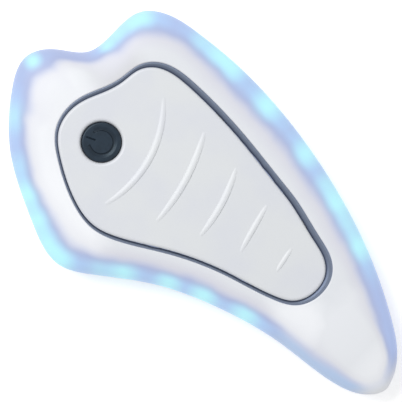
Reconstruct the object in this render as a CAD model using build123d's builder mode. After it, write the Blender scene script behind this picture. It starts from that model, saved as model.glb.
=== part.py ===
from build123d import *
from math import cos, radians, sin
import os

os.makedirs("parts", exist_ok=True)

# Electric facial massager lying on its back, in millimetres.
# The origin is the centre of the flat rest face. +X runs from the head to the tail tip,
# +Y towards the high side of the back, +Z out of the button face.

# Casing
casing_length = 119.5
casing_width = 65.2
back_depth = 7.0
front_depth = 6.0
wall = 2.2
bulge = 2.2
crest_inset = 1.2
half_sections = 10

# Parting joint between the two shells
groove_inset = 0.8
groove_width = 0.7
seal_height = 0.7
seal_gap = 0.03

# Opening in the front shell, with the ledge that carries trim and panel
trim_depth = 1.5
ledge_thickness = 1.9
ledge_width = 3.0
ledge_root = 1.2
opening_round = 0.3

# Trim ring
trim_width = 1.2
trim_height = 1.2
trim_round = 0.2
trim_shift = (-0.3, -0.4)
fit = 0.05

# Grip panel and its raised ridges
panel_wall = 1.8
panel_step = 0.7
panel_rise = 1.0
crown_radius = 900.0
crown_place = (-3.0, 1.0)
panel_round = 0.7
ridge_half_width = 1.05
ridge_half_height = 0.5
ridge_tilt = 15.0
ridge_sink = 0.22
ridge_end_sink = 0.5

# Snap hooks under the panel
hook_width = 3.0
hook_thickness = 1.0
hook_barb = 0.5
hook_drop = 0.6
hook_gap = 0.3

# Power button
button_place = (-31.8, -3.7)
button_radius = 4.85
button_gap = 0.12
button_proud = 0.12
button_round = 0.45
button_hole_round = 0.9
button_travel = 0.4
flange_radius = 6.2
flange_thickness = 0.65
slack = 0.05

# Switch under the button
switch_width = 4.5
switch_height = 1.5
stem_radius = 1.3
stem_height = 0.65
leg_length = 0.7
leg_width = 0.8
leg_thickness = 0.3

# Inner frame
frame_gap = 1.2
frame_floor = 1.0
frame_outset = 0.5
frame_wall = 1.5
frame_wall_drop = 0.6
board_boss_radius = 1.8
tray_wall = 0.8
tray_height = 2.2
tray_gap = 0.25

# Casing screws, from the ledge ears down into the back shell
screw_inset = 2.4
ear_radius = 2.4
post_radius = 2.3
screw_radius = 0.9
screw_head_radius = 1.6
screw_head_height = 1.0
screw_bite = 1.0
screw_clearance = 0.1

# Circuit board
board_thickness = 1.0
board_inset = 5.2
board_end = -16.0
board_screw_radius = 0.7
board_screw_head_radius = 1.3
board_screw_head_height = 0.7
board_screw_bite = 2.6

# Battery and its foam pad
battery_place = (0.5, 6.0)
battery_length = 23.0
battery_width = 20.0
battery_height = 4.4
battery_round = 1.0
pad_height = 0.6
pad_margin = 2.0

# Vibration motor
motor_gap = 0.65
motor_side = 5.8
motor_radius = 3.0
motor_chamfer = 0.3
motor_length = 9.0
motor_nose_radius = 1.2
motor_nose_length = 0.6
shaft_radius = 0.5
weight_radius = 2.7
weight_length = 3.0
weight_gap = 0.6
boot_width = 7.6
boot_height = 7.4
boot_length = 6.0
boot_round = 1.5
cradle_wall = 0.9
cradle_height = 4.2

# Light ring
strip_thickness = 0.3
strip_height = 4.0
strip_break = (10.0, 9.0)
strip_tail_width = 3.0
strip_tail_overlap = 1.8
strip_tail_share = 0.478
led_count = 16
led_first = 0.075
led_last = 0.915
led_length = 3.0
led_solder = 0.2
led_depth = 1.1
led_height = 1.6
guide_inset = 3.1
guide_outset = 2.6
guide_thickness = 2.0
guide_window = (7.5, 5.5)
guide_window_place = (42.0, 4.0)
rib_thickness = 1.0

# Charging contacts and magnets in the back
contact_place = (-24.0, 0.0)
contact_spacing = 8.0
contact_radius = 1.5
contact_flange_radius = 2.2
contact_flange = 0.5
contact_recess = 0.05
contact_stub = 0.8
spring_width = 1.6
spring_thickness = 0.25
spring_reach = 4.0
spring_bend = 0.5
magnet_spacing = 19.0
magnet_radius = 2.0
magnet_height = 1.8
magnet_sink = 0.8
pocket_wall = 0.7

# Wiring
wire_radius = 0.35
wire_sides = 6
wire_spacing = 1.4
battery_wire_place = 12.0
battery_wire_rise = 5.5
motor_wire_rise = 1.2
connector_length = 3.0
connector_width = 4.0
connector_height = 1.7
connector_place = -19.0

# Levels, worked out from the sizes above
parting_z = back_depth
shell_top = back_depth + front_depth
seat_z = shell_top - trim_depth
ledge_z = seat_z - ledge_thickness
ceiling_z = seat_z + panel_step
panel_top = shell_top + panel_rise
frame_z = wall + frame_gap
deck_z = frame_z + frame_floor
frame_top = ledge_z - frame_wall_drop
flange_z = ceiling_z - slack - flange_thickness
stem_top = flange_z - slack
switch_top = stem_top - stem_height
board_top = switch_top - switch_height
board_z = board_top - board_thickness
battery_z = deck_z + pad_height
motor_z = deck_z + boot_height / 2
guide_z = parting_z - guide_thickness / 2

# Outline of the casing in plan, from the tail tip over the back to the head and home.
# Each pair is a point of the outer rim and the point of the panel opening that it rises to.
seam_shift = 4
stations = [
    ((59.8, 0.8), (32.35, 6.4)),
    ((56.8, 6.8), (31.3, 10.6)),
    ((48.5, 13.4), (28.5, 13.5)),
    ((38.0, 19.2), (22.5, 15.6)),
    ((16.0, 27.4), (10.0, 18.75)),
    ((-4.0, 31.5), (-7.0, 21.2)),
    ((-24.0, 32.5), (-25.0, 22.2)),
    ((-33.0, 31.8), (-30.6, 21.7)),
    ((-41.0, 30.2), (-35.2, 19.7)),
    ((-46.5, 26.2), (-37.9, 16.2)),
    ((-48.0, 18.5), (-38.9, 11.2)),
    ((-49.5, 10.0), (-40.4, 6.6)),
    ((-56.1, 4.8), (-42.5, 2.0)),
    ((-59.6, -1.1), (-43.5, -3.0)),
    ((-56.5, -9.35), (-42.0, -9.0)),
    ((-46.5, -20.6), (-36.5, -14.1)),
    ((-31.5, -29.2), (-27.5, -18.9)),
    ((-19.0, -32.6), (-19.0, -20.5)),
    ((-11.5, -28.8), (-12.0, -18.3)),
    ((1.0, -20.35), (-2.0, -12.8)),
    ((16.0, -13.95), (12.0, -6.9)),
    ((33.5, -9.8), (25.0, -3.1)),
    ((50.0, -7.9), (29.9, -0.3)),
    ((57.2, -4.7), (31.7, 2.6)),
]
rim_x = [rim[0] for rim, opening in stations]
rim_y = [rim[1] for rim, opening in stations]
length_scale = casing_length / (max(rim_x) - min(rim_x))
width_scale = casing_width / (max(rim_y) - min(rim_y))


def plan(point):
    """A drawn point, moved with the casing's length and width."""
    x, y = point
    return Vector(x * length_scale, y * width_scale)


rim_points = [plan(rim) for rim, opening in stations]
opening_points = [plan(opening) for rim, opening in stations]

with BuildLine():
    rim_edge = Spline(*rim_points, periodic=True)
with BuildLine():
    opening_edge = Spline(*opening_points, periodic=True)

# Inward normals at the stations, and the crest where the casing is level
up = Vector(0, 0, 1)
rim_normals = [up.cross(rim_edge.tangent_at(point)) for point in rim_points]
opening_normals = [up.cross(opening_edge.tangent_at(point)) for point in opening_points]
crest_points = [
    point + normal * crest_inset for point, normal in zip(opening_points, opening_normals)
]


def outline_face(points, normals, grow):
    """A closed smooth outline, grown outwards or, with a negative value, inwards.

    It starts a few stations on, clear of the seam of the casing's own surfaces.
    """
    moved = [point - normal * grow for point, normal in zip(points, normals)]
    with BuildSketch() as outline:
        with BuildLine():
            Spline(*moved[seam_shift:], *moved[:seam_shift], periodic=True)
        make_face()
    return outline.sketch


def rim_face(grow=0.0):
    """The plan outline of the casing."""
    return outline_face(rim_points, rim_normals, grow)


def opening_face(grow=0.0):
    """The plan outline of the opening for trim and panel."""
    return outline_face(opening_points, opening_normals, grow)


def panel_face(grow=0.0):
    """The plan outline of the grip panel, off centre inside the trim ring."""
    return opening_face(grow - trim_width).moved(Location(trim_shift))


def casing_half(inset, depth, side):
    """Half of the rounded body, from the parting line up (side 1) or down (side -1).

    With an inset it is the space inside a wall of that thickness.
    """
    with BuildPart() as form:
        for step in range(half_sections + 1):
            angle = radians(90 * step / half_sections)
            share = 1 - abs(cos(angle)) ** (2 / bulge)
            rise = (depth - inset) * sin(angle) ** (2 / bulge)
            section = [
                (rim + normal * inset) * (1 - share) + crest * share
                for rim, normal, crest in zip(rim_points, rim_normals, crest_points)
            ]
            with BuildSketch(Plane.XY.offset(parting_z + side * rise)):
                with BuildLine():
                    Spline(*section, periodic=True)
                make_face()
        loft()
    return form.part


def at_opening(share, outset, height):
    """A place beside the opening's edge: X points outwards, Z up."""
    outward = opening_edge.tangent_at(share).cross(up)
    origin = opening_edge.position_at(share) + outward * outset + up * height
    return Plane(origin=origin, x_dir=outward, z_dir=up)


def across_opening(share, outset, height):
    """The same place seen along the edge: X points outwards, Y up."""
    spot = at_opening(share, outset, height)
    return Plane(origin=spot.origin, x_dir=spot.x_dir, z_dir=spot.x_dir.cross(up))


def surface_z(point):
    """Height of the crowned panel face over a plan point."""
    away = (point - plan(crown_place)).length
    return panel_top - crown_radius + (crown_radius**2 - away**2) ** 0.5


# Places round the opening, as shares of its edge from the tail end over the back
screw_shares = (0.10, 0.275, 0.515, 0.71, 0.90)
screw_spots = [at_opening(share, -screw_inset, 0.0).origin for share in screw_shares]
hook_shares = (0.06, 0.206, 0.345, 0.445, 0.603, 0.778, 0.94)

# Front shell
with BuildPart() as front_shell:
    add(casing_half(0.0, front_depth, 1))
    add(casing_half(wall, front_depth, 1), mode=Mode.SUBTRACT)
    with BuildSketch(Plane.XY.offset(ledge_z)):
        add(opening_face(ledge_root))
    extrude(amount=ledge_thickness)
    with BuildSketch(Plane.XY.offset(seat_z)):
        add(opening_face())
    extrude(amount=2 * trim_depth, mode=Mode.SUBTRACT)
    with BuildSketch(Plane.XY.offset(ledge_z)):
        add(opening_face(-ledge_width))
        with Locations(*screw_spots):
            Circle(ear_radius, mode=Mode.SUBTRACT)
    extrude(amount=ledge_thickness, mode=Mode.SUBTRACT)
    with Locations(*[spot + up * seat_z for spot in screw_spots]):
        CounterBoreHole(
            radius=screw_radius + screw_clearance,
            counter_bore_radius=screw_head_radius + screw_clearance,
            counter_bore_depth=screw_head_height + screw_clearance,
            depth=ledge_thickness,
        )
    fillet(front_shell.edges().group_by(Axis.Z)[-1], radius=opening_round)
front_shell.part.label = "front_shell"
export_step(front_shell.part, "parts/front_shell.step")

# Ribs that carry the light guide, from the floor to its underside
with BuildPart() as guide_ribs:
    with BuildSketch(Plane.XY.offset(wall / 2)):
        for rim, opening in list(zip(rim_points, opening_points))[1::3]:
            across = rim - opening
            middle = (rim + opening + across.normalized() * guide_outset) / 2
            turn = Vector(1, 0, 0).get_signed_angle(across, up)
            with Locations(Location((middle.X, middle.Y, 0), turn)):
                Rectangle(across.length - guide_outset, rib_thickness)
    extrude(amount=guide_z - wall / 2)
    add(casing_half(wall / 2, back_depth, -1), mode=Mode.INTERSECT)

contact_spots = [
    plan(contact_place) + Vector(0, side * contact_spacing / 2) for side in (-1, 1)
]
magnet_spots = [
    plan(contact_place) + Vector(0, side * magnet_spacing / 2) for side in (-1, 1)
]
magnet_z = wall - magnet_sink

# Back shell
with BuildPart() as back_shell:
    add(casing_half(0.0, back_depth, -1))
    add(casing_half(wall, back_depth, -1), mode=Mode.SUBTRACT)
    add(guide_ribs.part)
    with BuildSketch(Plane.XY.offset(parting_z)):
        add(rim_face(-groove_inset))
        add(rim_face(-groove_inset - groove_width), mode=Mode.SUBTRACT)
    extrude(amount=-seal_height, mode=Mode.SUBTRACT)
    with BuildSketch(Plane.XY.offset(wall / 2)):
        with Locations(*screw_spots):
            Circle(post_radius)
    extrude(amount=frame_z - wall / 2)
    with BuildSketch(Plane.XY.offset(frame_z)):
        with Locations(*screw_spots):
            Circle(screw_radius + fit / 2)
    extrude(amount=screw_bite - frame_z, mode=Mode.SUBTRACT)
    with BuildSketch(Plane.XY.offset(wall / 2)):
        with Locations(*magnet_spots):
            Circle(magnet_radius + fit + pocket_wall)
    extrude(amount=magnet_z + magnet_height - wall / 2)
    with BuildSketch(Plane.XY.offset(magnet_z)):
        with Locations(*magnet_spots):
            Circle(magnet_radius + fit)
    extrude(amount=magnet_height, mode=Mode.SUBTRACT)
    with BuildSketch():
        with Locations(*contact_spots):
            Circle(contact_radius + fit)
    extrude(amount=wall, mode=Mode.SUBTRACT)
back_shell.part.label = "back_shell"
export_step(back_shell.part, "parts/back_shell.step")

# Seal in the parting groove, flush with the joint and pressed by the front shell
with BuildPart() as rim_seal:
    with BuildSketch(Plane.XY.offset(parting_z - seal_height)):
        add(rim_face(-groove_inset - seal_gap))
        add(rim_face(seal_gap - groove_inset - groove_width), mode=Mode.SUBTRACT)
    extrude(amount=seal_height)
rim_seal.part.label = "rim_seal"
export_step(rim_seal.part, "parts/rim_seal.step")

# Trim ring round the panel
with BuildPart() as trim_ring:
    with BuildSketch(Plane.XY.offset(seat_z)):
        add(opening_face(-fit))
        add(panel_face(fit), mode=Mode.SUBTRACT)
    extrude(amount=trim_height)
    fillet(trim_ring.edges().group_by(Axis.Z)[-1], radius=trim_round)
trim_ring.part.label = "trim_ring"
export_step(trim_ring.part, "parts/trim_ring.step")

# Raised ridges of the panel: start, middle and end of each crescent in plan, and its size
# against the largest. Each rises gently from the button's side and falls off steeply.
ridge_arcs = [
    ((-28.2, 14.1), (-20.6, 0.8), (-21.1, -13.8), 1.0),
    ((-15.4, 14.9), (-10.9, 4.0), (-9.2, -8.4), 1.0),
    ((-3.8, 13.8), (-0.4, 5.2), (0.9, -3.8), 0.95),
    ((7.8, 12.4), (9.3, 6.2), (10.8, -0.1), 0.8),
    ((19.4, 8.7), (20.0, 5.4), (20.5, 2.4), 0.65),
]


def ridge(start, middle, end, size):
    """One raised crescent that sinks into the panel at both ends."""
    points = []
    for drawn, sink in ((start, ridge_end_sink), (middle, ridge_sink), (end, ridge_end_sink)):
        spot = plan(drawn)
        points.append(spot + up * (surface_z(spot) - sink * size))
    with BuildPart() as crescent:
        with BuildLine() as spine:
            ThreePointArc(*points)
        along = spine.line % 0
        with BuildSketch(Plane(origin=spine.line @ 0, x_dir=up.cross(along), z_dir=along)):
            Ellipse(ridge_half_width * size, ridge_half_height * size, rotation=ridge_tilt)
        sweep()
    return crescent.part


ridges = [ridge(*arc) for arc in ridge_arcs]
button_spot = plan(button_place)

# Grip panel
with BuildPart() as grip_panel:
    with BuildSketch(Plane.XY.offset(seat_z)):
        add(panel_face())
    extrude(amount=2 * trim_depth + panel_rise)
    with Locations(plan(crown_place) + up * (panel_top - crown_radius)):
        Sphere(crown_radius, rotation=(90, 0, 0), mode=Mode.INTERSECT)
    fillet(grip_panel.faces().sort_by(Axis.Z)[-1].outer_wire().edges(), radius=panel_round)
    with BuildSketch(Plane.XY.offset(seat_z)):
        add(panel_face(-panel_wall))
    extrude(amount=panel_step, mode=Mode.SUBTRACT)
    add(ridges)
    for share in hook_shares:
        with BuildSketch(across_opening(share, -ledge_width - hook_gap, 0.0)):
            with BuildLine():
                Polyline(
                    (0, ceiling_z),
                    (0, ledge_z - slack),
                    (hook_barb + hook_gap, ledge_z - slack),
                    (0, ledge_z - slack - hook_drop),
                    (-hook_thickness, ledge_z - slack - hook_drop),
                    (-hook_thickness, ceiling_z),
                    close=True,
                )
            make_face()
        extrude(amount=hook_width / 2, both=True)
    with BuildSketch(Plane.XY.offset(ceiling_z)):
        with Locations(button_spot):
            Circle(button_radius + button_gap)
    extrude(amount=panel_top - ceiling_z, mode=Mode.SUBTRACT)
    hole_edges = grip_panel.edges().sort_by_distance(button_spot + up * surface_z(button_spot))
    fillet(hole_edges[:3].sort_by(Axis.Z)[-1], radius=button_hole_round)
grip_panel.part.label = "grip_panel"
export_step(grip_panel.part, "parts/grip_panel.step")

# Power button: a soft cap whose flange is held under the panel
button_top = surface_z(button_spot) + button_proud
with BuildPart() as power_button:
    with BuildSketch(Plane.XY.offset(flange_z)):
        with Locations(button_spot):
            Circle(flange_radius)
    extrude(amount=flange_thickness)
    with BuildSketch(Plane.XY.offset(flange_z)):
        with Locations(button_spot):
            Circle(button_radius)
    extrude(amount=button_top - flange_z)
    fillet(power_button.edges().group_by(Axis.Z)[-1], radius=button_round)
power_button.part.label = "power_button"
export_step(power_button.part, "parts/power_button.step")

# Circuit board, held on four bosses of the frame
board_screw_places = [(-24.5, 14.0), (-33.0, 10.5), (-34.5, -10.2), (-20.5, -12.0)]
board_screw_spots = [plan(place) for place in board_screw_places]
board_end_x = plan((board_end, 0.0)).X
with BuildPart() as main_board:
    with BuildSketch(Plane.XY.offset(board_z)):
        add(opening_face(-board_inset))
        with Locations((board_end_x, 0)):
            Rectangle(
                casing_length, casing_width, align=(Align.MIN, Align.CENTER), mode=Mode.SUBTRACT
            )
        with Locations(*board_screw_spots):
            Circle(board_screw_radius + screw_clearance, mode=Mode.SUBTRACT)
    extrude(amount=board_thickness)
main_board.part.label = "main_board"
export_step(main_board.part, "parts/main_board.step")

# Screws of the circuit board
with BuildPart() as board_screws:
    for spot in board_screw_spots:
        with BuildSketch(Plane.XY.offset(board_top)):
            with Locations(spot):
                Circle(board_screw_head_radius)
        extrude(amount=board_screw_head_height)
        with BuildSketch(Plane.XY.offset(board_top)):
            with Locations(spot):
                Circle(board_screw_radius)
        extrude(amount=-board_thickness - board_screw_bite)
board_screws.part.label = "board_screws"
export_step(board_screws.part, "parts/board_screws.step")

# Casing screws
with BuildPart() as frame_screws:
    for spot in screw_spots:
        with BuildSketch(Plane.XY.offset(seat_z - screw_clearance)):
            with Locations(spot):
                Circle(screw_head_radius)
        extrude(amount=-screw_head_height)
        with BuildSketch(Plane.XY.offset(screw_bite + fit)):
            with Locations(spot):
                Circle(screw_radius)
        extrude(amount=seat_z - 2 * screw_clearance - screw_bite)
frame_screws.part.label = "frame_screws"
export_step(frame_screws.part, "parts/frame_screws.step")

# Switch on the board under the button, and the stem that the button presses
with BuildPart() as tact_switch:
    with BuildSketch(Plane.XY.offset(board_top)):
        with Locations(button_spot):
            Rectangle(switch_width, switch_width)
            Circle(stem_radius + fit, mode=Mode.SUBTRACT)
    extrude(amount=switch_height)
    with BuildSketch(Plane.XY.offset(board_top)):
        with Locations(button_spot):
            with GridLocations(switch_width + leg_length, switch_width - leg_width, 2, 2):
                Rectangle(leg_length, leg_width)
    extrude(amount=leg_thickness)
tact_switch.part.label = "tact_switch"
export_step(tact_switch.part, "parts/tact_switch.step")

with BuildPart() as switch_stem:
    with BuildSketch(Plane.XY.offset(stem_top)):
        with Locations(button_spot):
            Circle(stem_radius)
    extrude(amount=-stem_height - button_travel - fit)
switch_stem.part.label = "switch_stem"
export_step(switch_stem.part, "parts/switch_stem.step")

# Chips and small parts soldered on the board: place, length, width, height
board_chips = [
    ((-24.5, 5.5), 4.0, 4.0, 0.9),
    ((-27.5, -10.5), 3.0, 3.0, 0.8),
    ((-20.5, -6.5), 4.0, 4.0, 1.8),
    ((-28.5, 9.0), 3.2, 1.6, 0.6),
    ((-36.0, 4.5), 2.0, 1.2, 0.6),
    ((-25.0, -1.5), 1.6, 0.8, 0.5),
    ((-25.0, -3.5), 1.6, 0.8, 0.5),
]
with BuildPart() as board_components:
    for place, length, width, height in board_chips:
        with BuildSketch(Plane.XY.offset(board_top)):
            with Locations(plan(place)):
                Rectangle(length, width)
        extrude(amount=height)
board_components.part.label = "board_components"
export_step(board_components.part, "parts/board_components.step")

# Battery in its tray on a foam pad
battery_spot = plan(battery_place)
with BuildPart() as battery:
    with BuildSketch(Plane.XY.offset(battery_z)):
        with Locations(battery_spot):
            RectangleRounded(battery_length, battery_width, battery_round)
    extrude(amount=battery_height)
battery.part.label = "battery"
export_step(battery.part, "parts/battery.step")

with BuildPart() as battery_pad:
    with BuildSketch(Plane.XY.offset(deck_z)):
        with Locations(battery_spot):
            Rectangle(battery_length - pad_margin, battery_width - pad_margin)
    extrude(amount=pad_height)
battery_pad.part.label = "battery_pad"
export_step(battery_pad.part, "parts/battery_pad.step")

# Vibration motor: can with nose, shaft, half-disc weight and rubber boot, along X
motor_x = battery_spot.X + battery_length / 2 + tray_gap + tray_wall + motor_gap
motor_axis_y = plan((0.0, motor_side)).Y
motor_end_x = motor_x + motor_length
weight_x = motor_end_x + motor_nose_length + weight_gap


def across_motor(x):
    """The plane across the motor's axis at a place along X."""
    return Plane(origin=(x, motor_axis_y, motor_z), x_dir=(0, 1, 0), z_dir=(1, 0, 0))


with BuildPart() as motor_can:
    with BuildSketch(across_motor(motor_x)):
        Circle(motor_radius)
    extrude(amount=motor_length)
    chamfer(motor_can.edges().filter_by(GeomType.CIRCLE), length=motor_chamfer)
    with BuildSketch(across_motor(motor_end_x)):
        Circle(motor_nose_radius)
    extrude(amount=motor_nose_length)
    with BuildSketch(across_motor(motor_end_x + motor_nose_length)):
        Circle(shaft_radius + fit)
    extrude(amount=-motor_nose_length - motor_radius, mode=Mode.SUBTRACT)
motor_can.part.label = "motor_can"
export_step(motor_can.part, "parts/motor_can.step")

with BuildPart() as motor_shaft:
    with BuildSketch(across_motor(motor_end_x - motor_radius + fit)):
        Circle(shaft_radius)
    extrude(amount=weight_x + weight_length - motor_end_x + motor_radius)
motor_shaft.part.label = "motor_shaft"
export_step(motor_shaft.part, "parts/motor_shaft.step")

with BuildPart() as eccentric_weight:
    with BuildSketch(across_motor(weight_x)):
        Circle(weight_radius)
        with Locations((0, 2 * shaft_radius)):
            Rectangle(
                2 * weight_radius, weight_radius, align=(Align.CENTER, Align.MIN), mode=Mode.SUBTRACT
            )
        Circle(shaft_radius, mode=Mode.SUBTRACT)
    extrude(amount=weight_length)
eccentric_weight.part.label = "eccentric_weight"
export_step(eccentric_weight.part, "parts/eccentric_weight.step")

boot_x = motor_x + (motor_length - boot_length) / 2
with BuildPart() as motor_boot:
    with BuildSketch(across_motor(boot_x)):
        RectangleRounded(boot_width, boot_height, boot_round)
        Circle(motor_radius + fit, mode=Mode.SUBTRACT)
    extrude(amount=boot_length)
motor_boot.part.label = "motor_boot"
export_step(motor_boot.part, "parts/motor_boot.step")

# Inner frame: deck and rim wall, screw posts, board bosses, battery tray and motor cradle
contact_window = (spring_reach + 2 * contact_flange_radius, contact_spacing + 2 * contact_flange_radius)
with BuildPart() as inner_frame:
    with BuildSketch(Plane.XY.offset(frame_z)):
        add(opening_face(frame_outset))
    extrude(amount=frame_top - frame_z)
    with BuildSketch(Plane.XY.offset(deck_z)):
        add(opening_face(frame_outset - frame_wall))
    extrude(amount=frame_top - deck_z, mode=Mode.SUBTRACT)
    with BuildSketch(Plane.XY.offset(frame_z)):
        with Locations(*screw_spots):
            Circle(post_radius)
    extrude(amount=ledge_z - frame_z)
    with BuildSketch(Plane.XY.offset(deck_z)):
        with Locations(*board_screw_spots):
            Circle(board_boss_radius)
    extrude(amount=board_z - deck_z)
    with BuildSketch(Plane.XY.offset(deck_z)):
        with Locations(battery_spot):
            Rectangle(
                battery_length + 2 * (tray_gap + tray_wall), battery_width + 2 * (tray_gap + tray_wall)
            )
            Rectangle(
                battery_length + 2 * tray_gap, battery_width + 2 * tray_gap, mode=Mode.SUBTRACT
            )
    extrude(amount=tray_height)
    with BuildSketch(Plane.XY.offset(deck_z)):
        with Locations((boot_x + boot_length / 2, motor_axis_y)):
            with GridLocations(0, boot_width + 2 * fit + cradle_wall, 1, 2):
                Rectangle(boot_length, cradle_wall)
    extrude(amount=cradle_height)
    with BuildSketch(Plane.XY.offset(frame_z)):
        with Locations(plan(contact_place)):
            Rectangle(*contact_window)
    extrude(amount=frame_floor, mode=Mode.SUBTRACT)
    with BuildSketch(Plane.XY.offset(frame_z)):
        with Locations(*screw_spots):
            Circle(screw_radius + screw_clearance)
    extrude(amount=ledge_z - frame_z, mode=Mode.SUBTRACT)
    with BuildSketch(Plane.XY.offset(board_z)):
        with Locations(*board_screw_spots):
            Circle(board_screw_radius + fit / 2)
    extrude(amount=-board_screw_bite - fit, mode=Mode.SUBTRACT)
inner_frame.part.label = "inner_frame"
export_step(inner_frame.part, "parts/inner_frame.step")

# Light strip: a flexible board round the frame, open at the tail, with a tail to the main board
strip_outset = frame_outset + fit
strip_z = parting_z - strip_height / 2
with BuildPart() as led_strip:
    with BuildSketch(Plane.XY.offset(strip_z)):
        add(opening_face(strip_outset + strip_thickness))
        add(opening_face(strip_outset), mode=Mode.SUBTRACT)
        with Locations(at_opening(0.0, 0.0, 0.0).origin):
            Rectangle(*strip_break, mode=Mode.SUBTRACT)
    extrude(amount=strip_height)
    with BuildSketch(at_opening(strip_tail_share, strip_outset, strip_z + strip_height)):
        Rectangle(strip_thickness, strip_tail_width, align=(Align.MIN, Align.CENTER))
    extrude(amount=board_top + strip_thickness - strip_z - strip_height)
    with BuildSketch(at_opening(strip_tail_share, strip_outset + strip_thickness, board_top)):
        Rectangle(
            strip_outset + strip_thickness + board_inset + strip_tail_overlap,
            strip_tail_width,
            align=(Align.MAX, Align.CENTER),
        )
    extrude(amount=strip_thickness - fit)
led_strip.part.label = "led_strip"
export_step(led_strip.part, "parts/led_strip.step")

led_step = (led_last - led_first) / (led_count - 1)
led_outset = strip_outset + strip_thickness + led_solder
with BuildPart() as led_chips:
    for number in range(led_count):
        share = led_first + number * led_step
        with BuildSketch(at_opening(share, led_outset, parting_z - led_height / 2)):
            Rectangle(led_depth, led_length, align=(Align.MIN, Align.CENTER))
        extrude(amount=led_height)
led_chips.part.label = "led_chips"
export_step(led_chips.part, "parts/led_chips.step")

# Light guide: a clear ring between the lights and the shells, with a window in the tail
with BuildPart() as light_guide:
    with BuildSketch(Plane.XY.offset(guide_z)):
        add(rim_face(-guide_inset))
        add(opening_face(guide_outset), mode=Mode.SUBTRACT)
        with Locations(plan(guide_window_place)):
            Ellipse(*guide_window, mode=Mode.SUBTRACT)
    extrude(amount=guide_thickness)
light_guide.part.label = "light_guide"
export_step(light_guide.part, "parts/light_guide.step")

# Charging contacts through the back, with their leaf springs and two magnets
with BuildPart() as charge_contacts:
    for spot in contact_spots:
        with BuildSketch(Plane.XY.offset(contact_recess)):
            with Locations(spot):
                Circle(contact_radius)
        extrude(amount=wall + contact_stub - contact_recess)
        with BuildSketch(Plane.XY.offset(wall)):
            with Locations(spot):
                Circle(contact_flange_radius)
        extrude(amount=contact_flange)
charge_contacts.part.label = "charge_contacts"
export_step(charge_contacts.part, "parts/charge_contacts.step")

contact_top = wall + contact_stub
with BuildPart() as contact_springs:
    for spot in contact_spots:
        with BuildSketch(Plane(origin=(spot.X, spot.Y, 0), x_dir=(1, 0, 0), z_dir=(0, -1, 0))):
            with BuildLine():
                FilletPolyline(
                    (-contact_radius, contact_top + spring_thickness / 2),
                    (contact_radius, contact_top + spring_thickness / 2),
                    (-spring_reach / 2, board_z - spring_thickness / 2),
                    (spring_reach / 2, board_z - spring_thickness / 2),
                    radius=spring_bend,
                )
            trace(line_width=spring_thickness)
        extrude(amount=spring_width / 2, both=True)
contact_springs.part.label = "contact_springs"
export_step(contact_springs.part, "parts/contact_springs.step")

with BuildPart() as charge_magnets:
    with BuildSketch(Plane.XY.offset(magnet_z)):
        with Locations(*magnet_spots):
            Circle(magnet_radius)
    extrude(amount=magnet_height)
charge_magnets.part.label = "charge_magnets"
export_step(charge_magnets.part, "parts/charge_magnets.step")

# Wire connectors on the board, and the leads of battery and motor
connector_x = plan((connector_place, 0.0)).X
battery_wire_y = plan((0.0, battery_wire_place)).Y
wire_z = board_top + connector_height / 2
with BuildPart() as wire_connectors:
    for y in (battery_wire_y, motor_axis_y):
        with BuildSketch(Plane.XY.offset(board_top)):
            with Locations((connector_x, y)):
                Rectangle(connector_length, connector_width)
        extrude(amount=connector_height)
wire_connectors.part.label = "wire_connectors"
export_step(wire_connectors.part, "parts/wire_connectors.step")


def lead(start_x, start_z, rise, y):
    """A stranded wire that leaves its part along -X, rises in a smooth step and runs on."""
    start = Vector(start_x, y, start_z)
    step = Vector(start_x - rise, y, wire_z)
    with BuildPart() as wire:
        with BuildLine() as path:
            Spline(start, step, tangents=((-1, 0, 0), (-1, 0, 0)))
            Line(step, (connector_x + connector_length / 2, y, wire_z))
        with BuildSketch(Plane(origin=start, z_dir=(-1, 0, 0))):
            RegularPolygon(wire_radius, wire_sides)
        sweep()
    return wire.part


battery_end_x = battery_spot.X - battery_length / 2
battery_mid_z = battery_z + battery_height / 2
battery_rise = min(battery_wire_rise, battery_end_x - connector_x - connector_length)
with BuildPart() as battery_leads:
    for side in (-1, 1):
        y = battery_wire_y + side * wire_spacing / 2
        add(lead(battery_end_x, battery_mid_z, battery_rise, y))
battery_leads.part.label = "battery_leads"
export_step(battery_leads.part, "parts/battery_leads.step")

motor_wire_z = motor_z + motor_radius / 2
with BuildPart() as motor_leads:
    for side in (-1, 1):
        y = motor_axis_y + side * wire_spacing / 2
        add(lead(motor_x, motor_wire_z, motor_wire_rise, y))
motor_leads.part.label = "motor_leads"
export_step(motor_leads.part, "parts/motor_leads.step")
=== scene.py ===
"""Finishes, light ring glow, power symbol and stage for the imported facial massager."""
import math

import bmesh
import bpy
from bpy.props import FloatProperty, FloatVectorProperty, IntProperty, PointerProperty
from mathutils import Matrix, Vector


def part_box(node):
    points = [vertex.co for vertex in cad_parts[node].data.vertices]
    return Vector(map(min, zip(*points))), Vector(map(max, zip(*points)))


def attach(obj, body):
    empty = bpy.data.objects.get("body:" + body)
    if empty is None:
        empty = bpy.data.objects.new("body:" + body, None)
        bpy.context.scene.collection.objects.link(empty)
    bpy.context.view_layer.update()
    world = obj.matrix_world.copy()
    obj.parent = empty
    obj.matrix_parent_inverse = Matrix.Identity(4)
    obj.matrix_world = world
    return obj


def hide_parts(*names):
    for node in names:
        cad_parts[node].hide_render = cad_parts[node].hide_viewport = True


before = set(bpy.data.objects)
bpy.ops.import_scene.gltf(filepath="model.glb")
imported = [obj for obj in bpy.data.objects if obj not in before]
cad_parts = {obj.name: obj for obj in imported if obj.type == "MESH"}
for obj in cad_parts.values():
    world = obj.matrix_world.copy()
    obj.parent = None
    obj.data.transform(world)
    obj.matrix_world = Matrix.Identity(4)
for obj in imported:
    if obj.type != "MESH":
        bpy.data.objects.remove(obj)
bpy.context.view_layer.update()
MM = 0.001

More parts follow.
